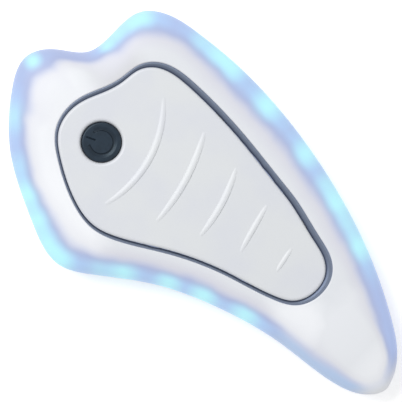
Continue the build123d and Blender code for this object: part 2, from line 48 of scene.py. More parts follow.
bl_info = {
    "name": "Facial massager finishes",
    "version": (1, 0, 0),
    "blender": (4, 5, 0),
    "location": "3D View > Sidebar > Massager",
    "description": "Dresses the packed facial massager: shell glow, trim, panel, button and insides",
    "category": "Object",
}


def shade(red, green, blue):
    """A screen colour, 0 to 255, as Blender's linear colour."""
    def linear(value):
        value = value / 255
        return value / 12.92 if value <= 0.04045 else ((value + 0.055) / 1.055) ** 2.4
    return (linear(red), linear(green), linear(blue))


def colour_property(name, description, default):
    """A linear colour."""
    return FloatVectorProperty(
        name=name, description=description, subtype="COLOR", size=3, min=0, max=1, default=default
    )


def length_property(name, description, default):
    """A length in metres, written here in millimetres."""
    return FloatProperty(
        name=name, description=description, subtype="DISTANCE", unit="LENGTH",
        default=default * MM, precision=5,
    )


# Settings

class ShellSettings(bpy.types.PropertyGroup):
    white: colour_property("White", "Frosted plastic away from the lights", shade(230, 233, 238))
    # Painted light: brighter plastic where light falls on the shell and shines through it
    painted_light: colour_property(
        "Milky", "Brighter plastic on the head's low side and the tail", shade(248, 250, 254)
    )
    # Painted shade: greyer plastic between notch and panel
    painted_shade: colour_property("Dusk", "Greyer plastic between notch and panel", shade(214, 215, 219))
    blush: colour_property("Blush", "Where the glow has almost died out", shade(223, 224, 234))
    lavender: colour_property("Lavender", "Inner edge of the glow", shade(157, 167, 199))
    blue: colour_property("Blue", "Glow along the rim near a light", shade(163, 194, 227))
    violet: colour_property("Violet", "Glow along the rim away from the lights", shade(160, 176, 214))
    cyan: colour_property("Cyan", "Brightest spots in front of the lights", shade(175, 231, 237))
    glow_width: length_property("Glow width", "How far the glow reaches in from the rim", 6.8)
    parting: length_property("Parting height", "Height of the joint between the shells", 7.0)
    top: length_property("Shell top", "Height of the front shell's crest", 13.0)
    seam: length_property("Seam", "Half the width of the hairline joint between the shells", 0.1)
    glow_strength: FloatProperty(
        name="Glow strength", description="Light that the rim gives off itself", default=0.55, min=0
    )


class TrimSettings(bpy.types.PropertyGroup):
    middle: colour_property("Middle", "Slate along the middle of the ring", shade(94, 103, 120))
    # Painted shade in the crevice along the ring's inner edge
    edge: colour_property("Edge", "Darker slate along the inner edge", shade(78, 87, 107))
    # Painted highlight along the ring's outer edge
    outer: colour_property("Outer", "Lighter slate along the outer edge", shade(116, 126, 144))
    inner_drop: length_property("Inner drop", "Highest line over the inner edge", 0.28)
    outer_drop: length_property("Outer drop", "Highest line over the outer edge", 0.04)
    peak: FloatProperty(
        name="Peak", description="Where the highest line lies, from the inner edge to the outer",
        default=0.8, min=0.1, max=0.9,
    )
    stations: IntProperty(
        name="Stations", description="Cross-sections round the ring", default=480, min=60
    )


class PanelSettings(bpy.types.PropertyGroup):
    grey: colour_property("Grey", "Satin plastic of the grip panel", shade(223, 226, 229))
    cool: colour_property("Cool grey", "Slight bluish cast in broad patches", shade(219, 222, 229))
    grain: length_property("Grain", "Size of the fine moulded texture", 0.12)


class ButtonSettings(bpy.types.PropertyGroup):
    slate: colour_property("Slate", "Button rubber", shade(28, 39, 52))
    # Darker tone of the mottling, and painted shade in the symbol's grooves
    dark: colour_property("Dark slate", "Groove and mottling", shade(12, 19, 29))
    cap_radius: length_property("Cap radius", "Radius of the visible cap", 4.85)
    edge_round: length_property("Edge round", "Rounding of the cap's edge", 0.45)
    groove_radius: length_property("Groove radius", "Radius of the power symbol's arc", 3.0)
    groove_width: length_property("Groove width", "Width of the symbol's arc", 0.7)
    line_width: length_property("Line width", "Width of the symbol's line", 0.45)
    groove_depth: length_property("Groove depth", "Depth of the symbol's grooves", 0.28)
    groove_slope: length_property("Groove slope", "Width of the arc's gentle outer wall", 0.8)
    line_inner: length_property("Line start", "Inner end of the symbol's line", 1.6)
    line_outer: length_property("Line end", "Outer end of the symbol's line", 3.8)
    turn: FloatProperty(
        name="Turn", description="Direction of the symbol's line", subtype="ANGLE",
        unit="ROTATION", default=math.radians(203.5),
    )
    gap: FloatProperty(
        name="Gap", description="Half of the arc's opening", subtype="ANGLE", unit="ROTATION",
        default=math.radians(36),
    )


class StageSettings(bpy.types.PropertyGroup):
    floor: colour_property("Floor", "Plain pale floor", (0.9, 0.9, 0.9))
    distance: FloatProperty(
        name="Camera distance", description="Height of the camera over the floor", default=1.5,
        min=0.3, subtype="DISTANCE", unit="LENGTH",
    )
    width: length_property("Picture width", "What the picture spans at the rim's height", 98.05)
    roll: FloatProperty(
        name="Roll", description="How far the part lies turned in the picture", subtype="ANGLE",
        unit="ROTATION", default=math.radians(43),
    )
    world: FloatProperty(name="Sky", description="Strength of the even light", default=0.42, min=0)
    key: FloatProperty(name="Key light", description="Watts of the large soft light", default=25.0)


# Shader maths

class Field:
    """A socket that takes part in Python arithmetic by adding Math nodes."""

    def __init__(self, finish, socket):
        self.finish = finish
        self.socket = socket

    def math(self, operation, *others):
        """A Math node with this value first."""
        terms = dict(enumerate((self, *others)))
        return self.finish.node("ShaderNodeMath", {"operation": operation}, terms)

    def __add__(self, other):
        return self.math("ADD", other)

    __radd__ = __add__

    def __sub__(self, other):
        return self.math("SUBTRACT", other)

    def __rsub__(self, other):
        return self * -1 + other

    def __mul__(self, other):
        return self.math("MULTIPLY", other)

    __rmul__ = __mul__

    def __truediv__(self, other):
        return self.math("DIVIDE", other)

    def __pow__(self, other):
        return self.math("POWER", other)

    def larger(self, other):
        """The larger of two values."""
        return self.math("MAXIMUM", other)

    def smaller(self, other):
        """The smaller of two values."""
        return self.math("MINIMUM", other)


class Finish:
    """The nodes of one procedural material, or of the world."""

    def __init__(self, owner):
        """Starts with no nodes, in a new material of the given name or in a given world."""
        self.owner = bpy.data.materials.new(owner) if isinstance(owner, str) else owner
        self.owner.use_nodes = True
        self.tree = self.owner.node_tree
        self.tree.nodes.clear()

    def node(self, kind, settings=None, sockets=None, output=0):
        """Any node: settings first, then the values or links of its sockets."""
        node = self.tree.nodes.new(kind)
        for name, value in (settings or {}).items():
            setattr(node, name, value)
        for name, value in (sockets or {}).items():
            if isinstance(value, Field):
                self.tree.links.new(value.socket, node.inputs[name])
            else:
                node.inputs[name].default_value = value
        return Field(self, node.outputs[output]) if node.outputs else None

    def place(self):
        """Place in the part's frame, in millimetres."""
        coordinates = self.node("ShaderNodeTexCoord", output="Object")
        return self.node(
            "ShaderNodeVectorMath", {"operation": "SCALE"}, {0: coordinates, "Scale": 1 / MM}
        )

    def axes(self, place):
        """The three coordinates of a place."""
        split = self.node("ShaderNodeSeparateXYZ", sockets={0: place})
        return [Field(self, socket) for socket in split.socket.node.outputs]

    def smooth(self, value, start, end):
        """0 before start, 1 after end, smooth between; start may be the larger."""
        return self.node(
            "ShaderNodeMapRange",
            {"interpolation_type": "SMOOTHSTEP"},
            {
                "Value": value,
                "From Min": min(start, end),
                "From Max": max(start, end),
                "To Min": float(start > end),
                "To Max": float(start < end),
            },
        )

    def mix(self, share, first, second):
        """A colour between two colours."""
        first, second = (
            colour if isinstance(colour, Field) else (*colour, 1.0) for colour in (first, second)
        )
        # Inputs 6 and 7 and output 2 of this node are its colours
        return self.node("ShaderNodeMix", {"data_type": "RGBA"}, {0: share, 6: first, 7: second}, 2)

    def noise(self, place, size, detail, stretch=(1, 1, 1)):
        """Cloudy noise with patches of about the given size in millimetres, about 0 to 1."""
        scaled = self.node(
            "ShaderNodeVectorMath",
            {"operation": "MULTIPLY"},
            {0: place, 1: tuple(1 / (size * factor) for factor in stretch)},
        )
        return self.node(
            "ShaderNodeTexNoise", sockets={"Vector": scaled, "Scale": 1.0, "Detail": detail}
        )

    def cells(self, place, density):
        """Distance from the middle of the nearest cell; density is in cells per millimetre."""
        return self.node(
            "ShaderNodeTexVoronoi", {"feature": "F1"}, {"Vector": place, "Scale": density}
        )

    def bump(self, height, depth_mm):
        """A surface normal from a height field of the given depth in millimetres."""
        return self.node("ShaderNodeBump", sockets={"Distance": depth_mm * MM, "Height": height})

    def seen(self):
        """1 for rays that show a surface to the camera, straight, mirrored or through glass."""
        rays = [
            self.node("ShaderNodeLightPath", output=name)
            for name in ("Is Camera Ray", "Is Glossy Ray", "Is Transmission Ray")
        ]
        return (rays[0] + rays[1] + rays[2]).smaller(1.0)

    def surface(self, **sockets):
        """Ends the material in a Principled shader with these sockets."""
        named = {name.replace("_", " "): value for name, value in sockets.items()}
        shader = self.node("ShaderNodeBsdfPrincipled", sockets=named)
        self.node("ShaderNodeOutputMaterial", sockets={"Surface": shader})
        return self.owner


# Finishes

BLACK = (0.0, 0.0, 0.0)

# Power of the curve that the shells are rounded by, and what keeps its base above zero
ROUNDING_POWER = 2.2
ABOVE_ZERO = 0.0001

# Bright spots in front of the lights: place in plan, radius and strength
LIGHT_SPOTS = [
    (-57.6, -0.6, 3.3, 0.9), (-46.8, 14.2, 3.0, 0.7), (-47.0, 17.6, 3.4, 0.6),
    (-46.6, 21.4, 4.0, 0.6), (-45.2, 25.2, 4.6, 0.8), (-30.7, 31.0, 4.6, 0.5),
    (-25.4, 31.4, 4.8, 0.9), (-20.8, 31.3, 4.8, 0.9), (-8.4, 30.6, 5.6, 1.0),
    (6.4, 28.4, 5.2, 0.9), (15.4, 26.2, 4.8, 0.6), (20.2, 24.6, 5.2, 1.0),
    (25.4, 22.7, 4.6, 0.6), (31.2, 20.4, 5.7, 1.0), (22.4, -11.0, 5.4, 0.9),
    (11.8, -14.4, 5.2, 1.0), (3.4, -17.8, 4.8, 0.9), (-6.4, -23.2, 5.2, 0.9),
    (-11.0, -26.6, 4.8, 0.4), (-19.8, -31.6, 5.2, 1.0), (-24.8, -30.8, 5.0, 0.9),
    (-30.4, -28.4, 5.4, 0.9), (-36.4, -25.4, 5.6, 0.9), (-42.6, -21.6, 5.2, 0.3),
    (-51.8, -13.8, 5.8, 0.45),
]


def frosted_shell(look):
    """Translucent white plastic that glows along its rim, brightest at the lights.

    All places are in millimetres: x runs from the head to the tail tip, y to the high side of
    the back and z up. The masks are smooth steps over these places.
    """
    finish = Finish("frosted_shell")
    smooth = finish.smooth
    place = finish.place()
    x, y, z = finish.axes(place)
    flat = finish.node("ShaderNodeCombineXYZ", sockets={0: x, 1: y})
    clouds = finish.noise(place, size=9.0, detail=2.0) - 0.5

    def away(spot_x, spot_y):
        """Distance in plan from a spot."""
        return finish.node(
            "ShaderNodeVectorMath", {"operation": "DISTANCE"},
            {0: flat, 1: (spot_x, spot_y, 0)}, "Value",
        )

    # Share of the way from the rim to the crest, from the height on the shells' rounding
    parting, top = look.parting / MM, look.top / MM
    rise = ((z - parting) / (top - parting)).larger((parting - z) / parting)
    rise = rise.larger(0.0).smaller(1.0)
    share = 1 - (1 + ABOVE_ZERO - rise ** ROUNDING_POWER) ** (1 / ROUNDING_POWER)

    # Parts of the casing in plan
    notch = smooth(y, 1, 5) * smooth(y, 16, 12) * smooth(x, -41, -47)
    tip = smooth(x, 38, 56) * smooth((y - 2).math("ABSOLUTE"), 9, 1)
    low_edge = smooth(y, 2, -4)
    head_end = smooth(x, -48, -53) * smooth(y, -10, -3)

    # Way from the rim to the crest: where it is set wider, the glow gets narrower. Line by
    # line: the tail, its tip and the tip's low side; the head's end and notch; the head's low
    # corner; the tail's low side; and the head's high corner
    width = 12 + 5 * smooth(x, 24, 50) + 40 * tip + 12 * low_edge * smooth(x, 44, 58)
    width = width + 4.5 * smooth(x, -45, -54) + 9 * notch
    width = width + 4 * smooth(x, -26, -38) * smooth(y, -8, -13)
    width = width + 1.5 * smooth(x, 5, 20) * smooth(y, 0, -5)
    width = width + 2.5 * smooth(x, -22, -34) * smooth(y, 14, 22)
    inset = share * width + clouds * 2.4
    reach = look.glow_width / MM

    def band(far, near):
        """0 farther in from the rim than far, 1 nearer to it than near, both in reaches."""
        return smooth(inset, reach * far, reach * near)

    # The glow in three colours, which dies out at the tail's tip and is weaker on its low side
    fade = 1 - smooth(x + 1.5 * low_edge, 54, 60.5)
    fade = fade * (1 - 0.35 * low_edge * smooth(x, 27, 34))
    blush_mask = band(1.55, 0.9) * fade
    lavender_mask = band(1.1, 0.6) * fade
    blue_mask = band(0.78, 0.3) * fade

    # Bright spots at the lights and the bluer halo round them
    spots = 0.0
    halo = 0.8 * low_edge * smooth(x, 26, 36)
    for spot_x, spot_y, radius, strength in LIGHT_SPOTS:
        distance = away(spot_x, spot_y)
        spots = spots + smooth(distance, radius, 0.0) * strength
        halo = halo.larger(smooth(distance, radius * 2.3, radius * 0.4) * strength)
    spots = (spots * band(0.95, 0.35)).smaller(1.0)
    halo = halo * (1 - 0.6 * head_end)
    rim = finish.mix(halo, look.violet, look.blue)
    rim = finish.mix(0.8 * notch.larger(head_end) * (1 - halo), rim, look.lavender)

    # Painted light makes the plastic brighter on the head's low side, beside the tail's root and at
    # the tail's end, and painted shade makes it greyer between notch and panel. The slanting line
    # runs from the head's low side to the tail's high side
    slanting = x * 0.731 + y * 0.682 + clouds * 10
    # Painted light: brighter plastic on the head's low side, beside the tail's root and at the tail's
    # end
    painted_light = smooth(slanting, -20, -29) * smooth(y, 8, 1) * (1 - 0.3 * smooth(x, -32, -44))
    painted_light = painted_light.larger(0.9 * smooth(away(33, -3.5) + clouds * 8, 11, 3))
    painted_light = painted_light.larger(0.35 * smooth(x + clouds * 12, 34, 40))
    painted_light = painted_light.larger(smooth(x, 45, 56))
    # Painted shade: greyer plastic between notch and panel
    painted_shade = smooth(away(-41.5, 12) + clouds * 5, 9, 2)

    # One colour over the other, from the plastic to the spots
    # Painted shade: a thin darker lavender line along the rim's very edge
    edge_shade = smooth(share * width, 0.4, 0.05)
    colour = finish.mix(painted_light, look.white, look.painted_light)
    colour = finish.mix(0.8 * painted_shade, colour, look.painted_shade)
    colour = finish.mix(blush_mask * (1 - 0.7 * painted_light), colour, look.blush)
    colour = finish.mix(lavender_mask, colour, look.lavender)
    colour = finish.mix(blue_mask, colour, rim)
    colour = finish.mix(0.3 * edge_shade, colour, look.lavender)
    colour = finish.mix(0.92 * spots, colour, look.cyan)

    # What glows gives off part of its colour and is darker itself, less so towards the floor
    lit = lavender_mask.larger(spots) * (0.25 + 0.75 * smooth(z, 0.5, 6.5))
    seam = smooth((z - parting).math("ABSOLUTE"), look.seam / MM, 0.4 * look.seam / MM)
    glow = finish.mix(lit * (1 - 0.5 * seam), BLACK, colour)
    colour = finish.mix(0.25 * lit + 0.3 * seam, colour, BLACK)
    grain = finish.noise(place, size=0.25, detail=2.0)
    return finish.surface(
        Base_Color=colour,
        Roughness=0.38 + 0.08 * grain,
        Normal=finish.bump(grain * 0.08 - seam, depth_mm=0.05),
        Emission_Color=glow,
        Emission_Strength=look.glow_strength,
        Specular_IOR_Level=0.35,
    )


def satin_panel(look):
    """Satin light grey plastic with a fine moulded grain."""
    finish = Finish("grey_panel")
    place = finish.place()
    patches = finish.noise(place, size=14.0, detail=2.0)
    grain = finish.noise(place, size=look.grain / MM, detail=2.0)
    return finish.surface(
        Base_Color=finish.mix(finish.smooth(patches, 0.35, 0.7), look.grey, look.cool),
        Roughness=0.34 + 0.1 * grain,
        Normal=finish.bump(grain, depth_mm=0.003),
        Specular_IOR_Level=0.6,
    )


def slate_trim(look):
    """Satin slate metal ring, with painted shade along its inner edge and a painted highlight along
    its outer one.
    """
    finish = Finish("slate_trim")
    place = finish.place()
    across = finish.node("ShaderNodeAttribute", {"attribute_name": "across"}, output="Fac")
    fine = finish.noise(place, size=0.6, detail=3.0)
    across = across + (fine - 0.5) * 0.15
    # Painted shade: darker slate towards the inner edge
    colour = finish.mix(finish.smooth(across, 0.5, 0.1), look.middle, look.edge)
    return finish.surface(
        # Painted highlight: lighter slate towards the outer edge
        Base_Color=finish.mix(finish.smooth(across, 0.55, 1.0), colour, look.outer),
        Roughness=0.34 + 0.1 * fine,
        Metallic=0.7,
    )


def button_rubber(look):
    """Soft dark slate rubber, with painted shade darkening its grooves."""
    finish = Finish("button_rubber")
    place = finish.place()
    # Painted shade in the symbol's grooves, stored on the cap's mesh
    groove_shade = finish.node("ShaderNodeAttribute", {"attribute_name": "groove"}, output="Fac")
    mottle = finish.noise(place, size=1.3, detail=3.0)
    grain = finish.noise(place, size=0.08, detail=1.0)
    worn = finish.mix(0.5 * finish.smooth(mottle, 0.35, 0.75), look.slate, look.dark)
    cool_sheen = (0.7, 0.88, 1.0, 1.0)
    return finish.surface(
        Base_Color=finish.mix(groove_shade * 0.7, worn, look.dark),
        Roughness=0.27 + 0.12 * grain,
        Normal=finish.bump(grain, depth_mm=0.004),
        Specular_IOR_Level=0.37,
        Specular_Tint=cool_sheen,
    )


def moulded(name, colour, roughness=0.5, grain_size=0.3, depth_mm=0.01):
    """Plain moulded plastic or rubber: slight colour drift and a fine grain."""
    finish = Finish(name)
    place = finish.place()
    drift = finish.noise(place, size=5.0, detail=2.0)
    grain = finish.noise(place, size=grain_size, detail=2.0)
    darker = tuple(channel * 0.86 for channel in colour)
    return finish.surface(
        Base_Color=finish.mix(finish.smooth(drift, 0.4, 0.75), colour, darker),
        Roughness=roughness + 0.12 * (grain - 0.5),
        Normal=finish.bump(grain, depth_mm),
    )


def worked_metal(name, colour, roughness, stretch=(1, 1, 1)):
    """Metal with fine tool marks, which the stretch draws out along one direction."""
    finish = Finish(name)
    place = finish.place()
    marks = finish.noise(place, size=0.12, detail=4.0, stretch=stretch)
    cloud = finish.noise(place, size=3.0, detail=2.0)
    darker = tuple(channel * 0.75 for channel in colour)
    return finish.surface(
        Base_Color=finish.mix(finish.smooth(cloud, 0.3, 0.8) * 0.6, colour, darker),
        Roughness=roughness + 0.2 * (marks - 0.5),
        Metallic=1.0,
        Normal=finish.bump(marks, depth_mm=0.004),
    )


def circuit_board():
    """Green solder mask with copper tracks under it and bare round pads."""
    solder_mask = shade(22, 92, 52)
    covered_copper = shade(46, 130, 74)
    bare_copper = shade(214, 180, 96)
    track_pitch = 1.1
    finish = Finish("circuit_green")
    place = finish.place()
    x = finish.axes(place)[0]
    fields = finish.noise(place, size=6.0, detail=0.0)
    bend = (fields * 9).math("FLOOR") * 0.35
    lines = ((x + bend) / track_pitch).math("FRACT")
    tracks = finish.smooth(lines, 0.62, 0.7) * finish.smooth(fields, 0.42, 0.46)
    pads = finish.smooth(finish.cells(place, density=0.45), 0.2, 0.16)
    colour = finish.mix(tracks, solder_mask, covered_copper)
    return finish.surface(
        Base_Color=finish.mix(pads, colour, bare_copper),
        Roughness=0.35 - 0.1 * pads,
        Metallic=pads,
        Normal=finish.bump(tracks, depth_mm=0.03),
    )


def battery_foil():
    """Aluminium laminate with soft creases."""
    finish = Finish("battery_foil")
    creases = finish.noise(finish.place(), size=3.5, detail=4.0)
    return finish.surface(
        Base_Color=finish.mix(creases, shade(206, 208, 214), shade(176, 179, 188)),
        Roughness=0.28 + 0.2 * creases,
        Metallic=0.85,
        Normal=finish.bump(creases, depth_mm=0.12),
    )


def foam_pad():
    """Open-cell foam, with painted shade in its pits."""
    finish = Finish("grey_foam")
    cells = finish.cells(finish.place(), density=2.6)
    return finish.surface(
        # Painted shade: darker towards the middle of each pit
        Base_Color=finish.mix(cells, shade(70, 71, 76), shade(120, 121, 126)),
        Roughness=0.9,
        Normal=finish.bump(cells, depth_mm=0.15),
    )


def lit_plastic(name, colour, light, strength):
    """Clear plastic that passes on the lights' colour."""
    finish = Finish(name)
    streaks = finish.noise(finish.place(), size=2.0, detail=2.0)
    return finish.surface(
        Base_Color=finish.mix(streaks, colour, light),
        Roughness=0.12 + 0.08 * streaks,
        Emission_Color=finish.mix(streaks, light, colour),
        Emission_Strength=strength,
        Normal=finish.bump(streaks, depth_mm=0.01),
    )


def stranded_lead(name, colour):
    """Glossy insulation with a faint lay of strands."""
    finish = Finish(name)
    place = finish.place()
    x = finish.axes(place)[0]
    lay = (x * 4.0).math("SINE") * 0.5 + 0.5
    tint = finish.noise(place, size=2.0, detail=2.0)
    darker = tuple(channel * 0.7 for channel in colour)
    return finish.surface(
        Base_Color=finish.mix(tint, colour, darker),
        Roughness=0.32 + 0.08 * lay,
        Normal=finish.bump(lay, depth_mm=0.02),
    )


# Mesh helpers

def dress(nodes, material):
    """Gives CAD nodes one material."""
    for name in nodes:
        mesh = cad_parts[name].data
        mesh.materials.clear()
        mesh.materials.append(material)


def new_piece(name, mesh, body, material):
    """Links a mesh as a piece that rides on a body."""
    piece = bpy.data.objects.new(name, mesh)
    bpy.context.scene.collection.objects.link(piece)
    mesh.materials.append(material)
    mesh.shade_smooth()
    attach(piece, body)
    return piece


def loft_rows(name, rows, value_name, values, join_ends):
    """A mesh of quads between closed rows of points, with one named value at each point."""
    built = bmesh.new()
    layer = built.verts.layers.float.new(value_name)
    lines = []
    for row, row_values in zip(rows, values):
        line = []
        for point, value in zip(row, row_values):
            vertex = built.verts.new(point)
            vertex[layer] = value
            line.append(vertex)
        lines.append(line)
    following = lines[1:] + lines[:1] if join_ends else lines[1:]
    for low, high in zip(lines, following):
        for number in range(len(low)):
            after = (number + 1) % len(low)
            built.faces.new((low[number], low[after], high[after], high[number]))
    bmesh.ops.recalc_face_normals(built, faces=built.faces)
    mesh = bpy.data.meshes.new(name)
    built.to_mesh(mesh)
    built.free()
    return mesh


def line_length(points):
    """Length of a line of points."""
    return sum((point - after).length for point, after in zip(points, points[1:]))


def edge_loops(mesh, height):
    """The inner and the outer line round the flat ring-shaped face at a height."""
    flatness = 0.01 * MM
    micrometre_digits = 3
    sides = {}
    for polygon in mesh.polygons:
        corners = [mesh.vertices[index].co for index in polygon.vertices]
        if all(abs(corner.z - height) < flatness for corner in corners):
            keys = [
                (round(corner.x / MM, micrometre_digits), round(corner.y / MM, micrometre_digits))
                for corner in corners
            ]
            for key, after in zip(keys, keys[1:] + keys[:1]):
                side = (min(key, after), max(key, after))
                sides[side] = sides.get(side, 0) + 1
    # A side that only one polygon has lies on the face's edge
    neighbours = {}
    for (key, after), count in sides.items():
        if count == 1:
            neighbours.setdefault(key, []).append(after)
            neighbours.setdefault(after, []).append(key)
    loops = []
    while neighbours:
        key = next(iter(neighbours))
        loop = []
        while key in neighbours:
            loop.append(Vector((key[0] * MM, key[1] * MM, height)))
            key = next((other for other in neighbours.pop(key) if other in neighbours), None)
        loops.append(loop)
    return sorted(loops, key=line_length)[-2:]


def polar_radius(points, centre, angles):
    """Radii of a closed line of points round a centre, at the given rising angles."""
    polar = sorted(
        (math.atan2(point.y - centre.y, point.x - centre.x), (point.xy - centre.xy).length)
        for point in points
    )
    first, last = polar[0], polar[-1]
    polar = [(last[0] - math.tau, last[1]), *polar, (first[0] + math.tau, first[1])]
    radii = []
    index = 0
    for angle in angles:
        while polar[index + 1][0] < angle:
            index += 1
        (low, near), (high, far) = polar[index], polar[index + 1]
        share = (angle - low) / (high - low) if high > low else 0.0
        radii.append(near + (far - near) * share)
    return radii


# Operators

# Steps across the trim ring, round the button, over the edge of its cap and in to its middle
CROWN_STEPS = 12
CAP_SEGMENTS = 240
CAP_EDGE_STEPS = 8
CAP_RINGS = 72

# Height of the button's flange, and radius of the tiny rings that its faces start and end at
FLANGE_HEIGHT = 0.65 * MM
TINY_RADIUS = 0.0005 * MM

# The symbol's grooves: steeper walls for a flat bottom, stronger painted shade in them, and the
# line's painted shade paler than the arc's
GROOVE_STEEPNESS = 1.3
GROOVE_DARKENING = 1.5
LINE_DARKNESS = 0.7


class MASSAGER_OT_casing(bpy.types.Operator):
    """Gives both shells the frosted plastic with its glow, and the seal its rubber"""
    bl_idname = "massager.casing"
    bl_label = "Casing"

    def execute(self, context):
        dress(["front_shell", "back_shell"], frosted_shell(context.scene.massager_shell))
        dress(
            ["rim_seal"],
            moulded("seal_rubber", shade(214, 217, 222), roughness=0.6, grain_size=0.2),
        )
        return {"FINISHED"}


class MASSAGER_OT_trim(bpy.types.Operator):
    """Replaces the trim ring by a crowned one with its own coating"""
    bl_idname = "massager.trim"
    bl_label = "Trim ring"

    def execute(self, context):
        look = context.scene.massager_trim
        lo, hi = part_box("trim_ring")
        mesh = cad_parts["trim_ring"].data
        inner_loop, outer_loop = edge_loops(mesh, lo.z)
        centre = (lo + hi) / 2
        angles = [
            -math.pi + math.tau * number / look.stations for number in range(look.stations)
        ]
        inner = polar_radius(inner_loop, centre, angles)
        outer = polar_radius(outer_loop, centre, angles)
        rows, values = [], []
        for share, rise in self.profile(look, hi.z - lo.z):
            row = []
            for angle, near, far in zip(angles, inner, outer):
                radius = near + (far - near) * share
                row.append(
                    (
                        centre.x + radius * math.cos(angle),
                        centre.y + radius * math.sin(angle),
                        lo.z + rise,
                    )
                )
            rows.append(row)
            values.append([share] * len(row))
        ring = loft_rows("trim_ring_crowned", rows, "across", values, join_ends=True)
        piece = new_piece("trim_ring_crowned", ring, "housing", slate_trim(look))
        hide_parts("trim_ring")
        return {"FINISHED"}

    def profile(self, look, height):
        """The ring's section: share of the way to the outer edge, and height over the base."""
        section = [(0.0, 0.0)]
        for step in range(CROWN_STEPS + 1):
            share = step / CROWN_STEPS
            if share > look.peak:
                drop = look.outer_drop * ((share - look.peak) / (1 - look.peak)) ** 2
            else:
                drop = look.inner_drop * (1 - share / look.peak) ** 2
            section.append((share, height - drop))
        section.append((1.0, 0.0))
        return section


class MASSAGER_OT_panel(bpy.types.Operator):
    """Gives the grip panel its satin plastic"""
    bl_idname = "massager.panel"
    bl_label = "Grip panel"

    def execute(self, context):
        dress(["grip_panel"], satin_panel(context.scene.massager_panel))
        return {"FINISHED"}


class MASSAGER_OT_button(bpy.types.Operator):
    """Replaces the button by one with the power symbol sunk into its cap"""
    bl_idname = "massager.button"
    bl_label = "Power button"

    def execute(self, context):
        look = context.scene.massager_button
        lo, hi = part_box("power_button")
        centre = (lo + hi) / 2
        rows, values = [], []
        for radius, height in self.profile(look, lo, hi):
            row, groove_shade = [], []
            for number in range(CAP_SEGMENTS):
                angle = math.tau * number / CAP_SEGMENTS
                spot = Vector((radius * math.cos(angle), radius * math.sin(angle)))
                sunk = dark = 0.0
                if height == hi.z:
                    sunk, dark = self.groove(spot, look)
                row.append(
                    (centre.x + spot.x, centre.y + spot.y, height - sunk * look.groove_depth)
                )
                groove_shade.append(dark)
            rows.append(row)
            values.append(groove_shade)
        mesh = loft_rows("power_button_cap", rows, "groove", values, join_ends=False)
        piece = new_piece(
            "power_button_cap", mesh, "button", button_rubber(look)
        )
        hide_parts("power_button")
        return {"FINISHED"}

    def profile(self, look, lo, hi):
        """Radius and height of each row: underside, flange, cap edge, and the flat top inwards."""
        flange = (hi.x - lo.x) / 2
        step_z = lo.z + FLANGE_HEIGHT
        section = [(TINY_RADIUS, lo.z), (flange, lo.z), (flange, step_z), (look.cap_radius, step_z)]
        rounding = look.edge_round
        for step in range(CAP_EDGE_STEPS + 1):
            angle = math.radians(90 * step / CAP_EDGE_STEPS)
            section.append(
                (
                    look.cap_radius - rounding * (1 - math.cos(angle)),
                    hi.z - rounding * (1 - math.sin(angle)),
                )
            )
        flat = look.cap_radius - rounding
        for step in range(1, CAP_RINGS + 1):
            section.append((max(flat * (1 - step / CAP_RINGS), TINY_RADIUS), hi.z))
        return section

    def groove(self, spot, look):
        """How far the symbol is sunk at a spot of the cap and how much painted shade darkens it, 0 to
        1.
        """
        direction = Vector((math.cos(look.turn), math.sin(look.turn)))
        along = min(max(spot.dot(direction), look.line_inner), look.line_outer)
        to_line = (spot - direction * along).length
        outward = spot.length - look.groove_radius
        angle = math.atan2(spot.y, spot.x) - look.turn
        angle = (angle + math.pi) % math.tau - math.pi
        # In the arc's opening, the distance to the arc's nearer end counts
        if abs(angle) < look.gap:
            end = look.turn + math.copysign(look.gap, angle)
            outward = (spot - look.groove_radius * Vector((math.cos(end), math.sin(end)))).length
            slope = look.groove_width / 2
        else:
            slope = look.groove_slope if outward > 0 else look.groove_width / 2
        line = 1 - 2 * to_line / look.line_width
        depth = max(1 - abs(outward) / slope, line, 0.0)
        dark = max(1 - 2 * abs(outward) / look.groove_width, LINE_DARKNESS * line, 0.0)
        return min(depth * GROOVE_STEEPNESS, 1.0), min(dark * GROOVE_DARKENING, 1.0)


class MASSAGER_OT_electronics(bpy.types.Operator):
    """Gives the board, its parts, the switch and the wiring their finishes"""
    bl_idname = "massager.electronics"
    bl_label = "Electronics"

    def execute(self, context):
        dress(["main_board"], circuit_board())
        dress(
            ["board_components"],
            moulded("chip_black", shade(34, 35, 38), roughness=0.45, grain_size=0.15, depth_mm=0.006),
        )
        dress(["switch_stem"], moulded("black_plastic", shade(30, 31, 33), grain_size=0.2))
        dress(
            ["tact_switch"],
            worked_metal("switch_metal", shade(205, 207, 210), roughness=0.3, stretch=(8, 1, 1)),
        )
        dress(["wire_connectors"], moulded("connector_white", shade(236, 233, 222), roughness=0.4))
        dress(["battery_leads"], stranded_lead("red_wire", shade(190, 34, 30)))
        dress(["motor_leads"], stranded_lead("blue_wire", shade(38, 74, 168)))
        return {"FINISHED"}


class MASSAGER_OT_power(bpy.types.Operator):
    """Gives the battery, its pad, the motor and its weight their finishes"""
    bl_idname = "massager.power"
    bl_label = "Battery and motor"

    def execute(self, context):
        dress(["battery"], battery_foil())
        dress(["battery_pad"], foam_pad())
        turned = (0.2, 6, 6)
        dress(
            ["motor_can"],
            worked_metal("motor_steel", shade(208, 210, 214), roughness=0.25, stretch=turned),
        )
        dress(
            ["motor_shaft"],
            worked_metal("shaft_steel", shade(214, 216, 220), roughness=0.16, stretch=turned),
        )
        dress(
            ["eccentric_weight"],
            worked_metal("weight_metal", shade(150, 148, 144), roughness=0.45),
        )
        dress(
            ["motor_boot"],
            moulded("boot_rubber", shade(44, 45, 48), roughness=0.75, grain_size=0.25),
        )
        return {"FINISHED"}


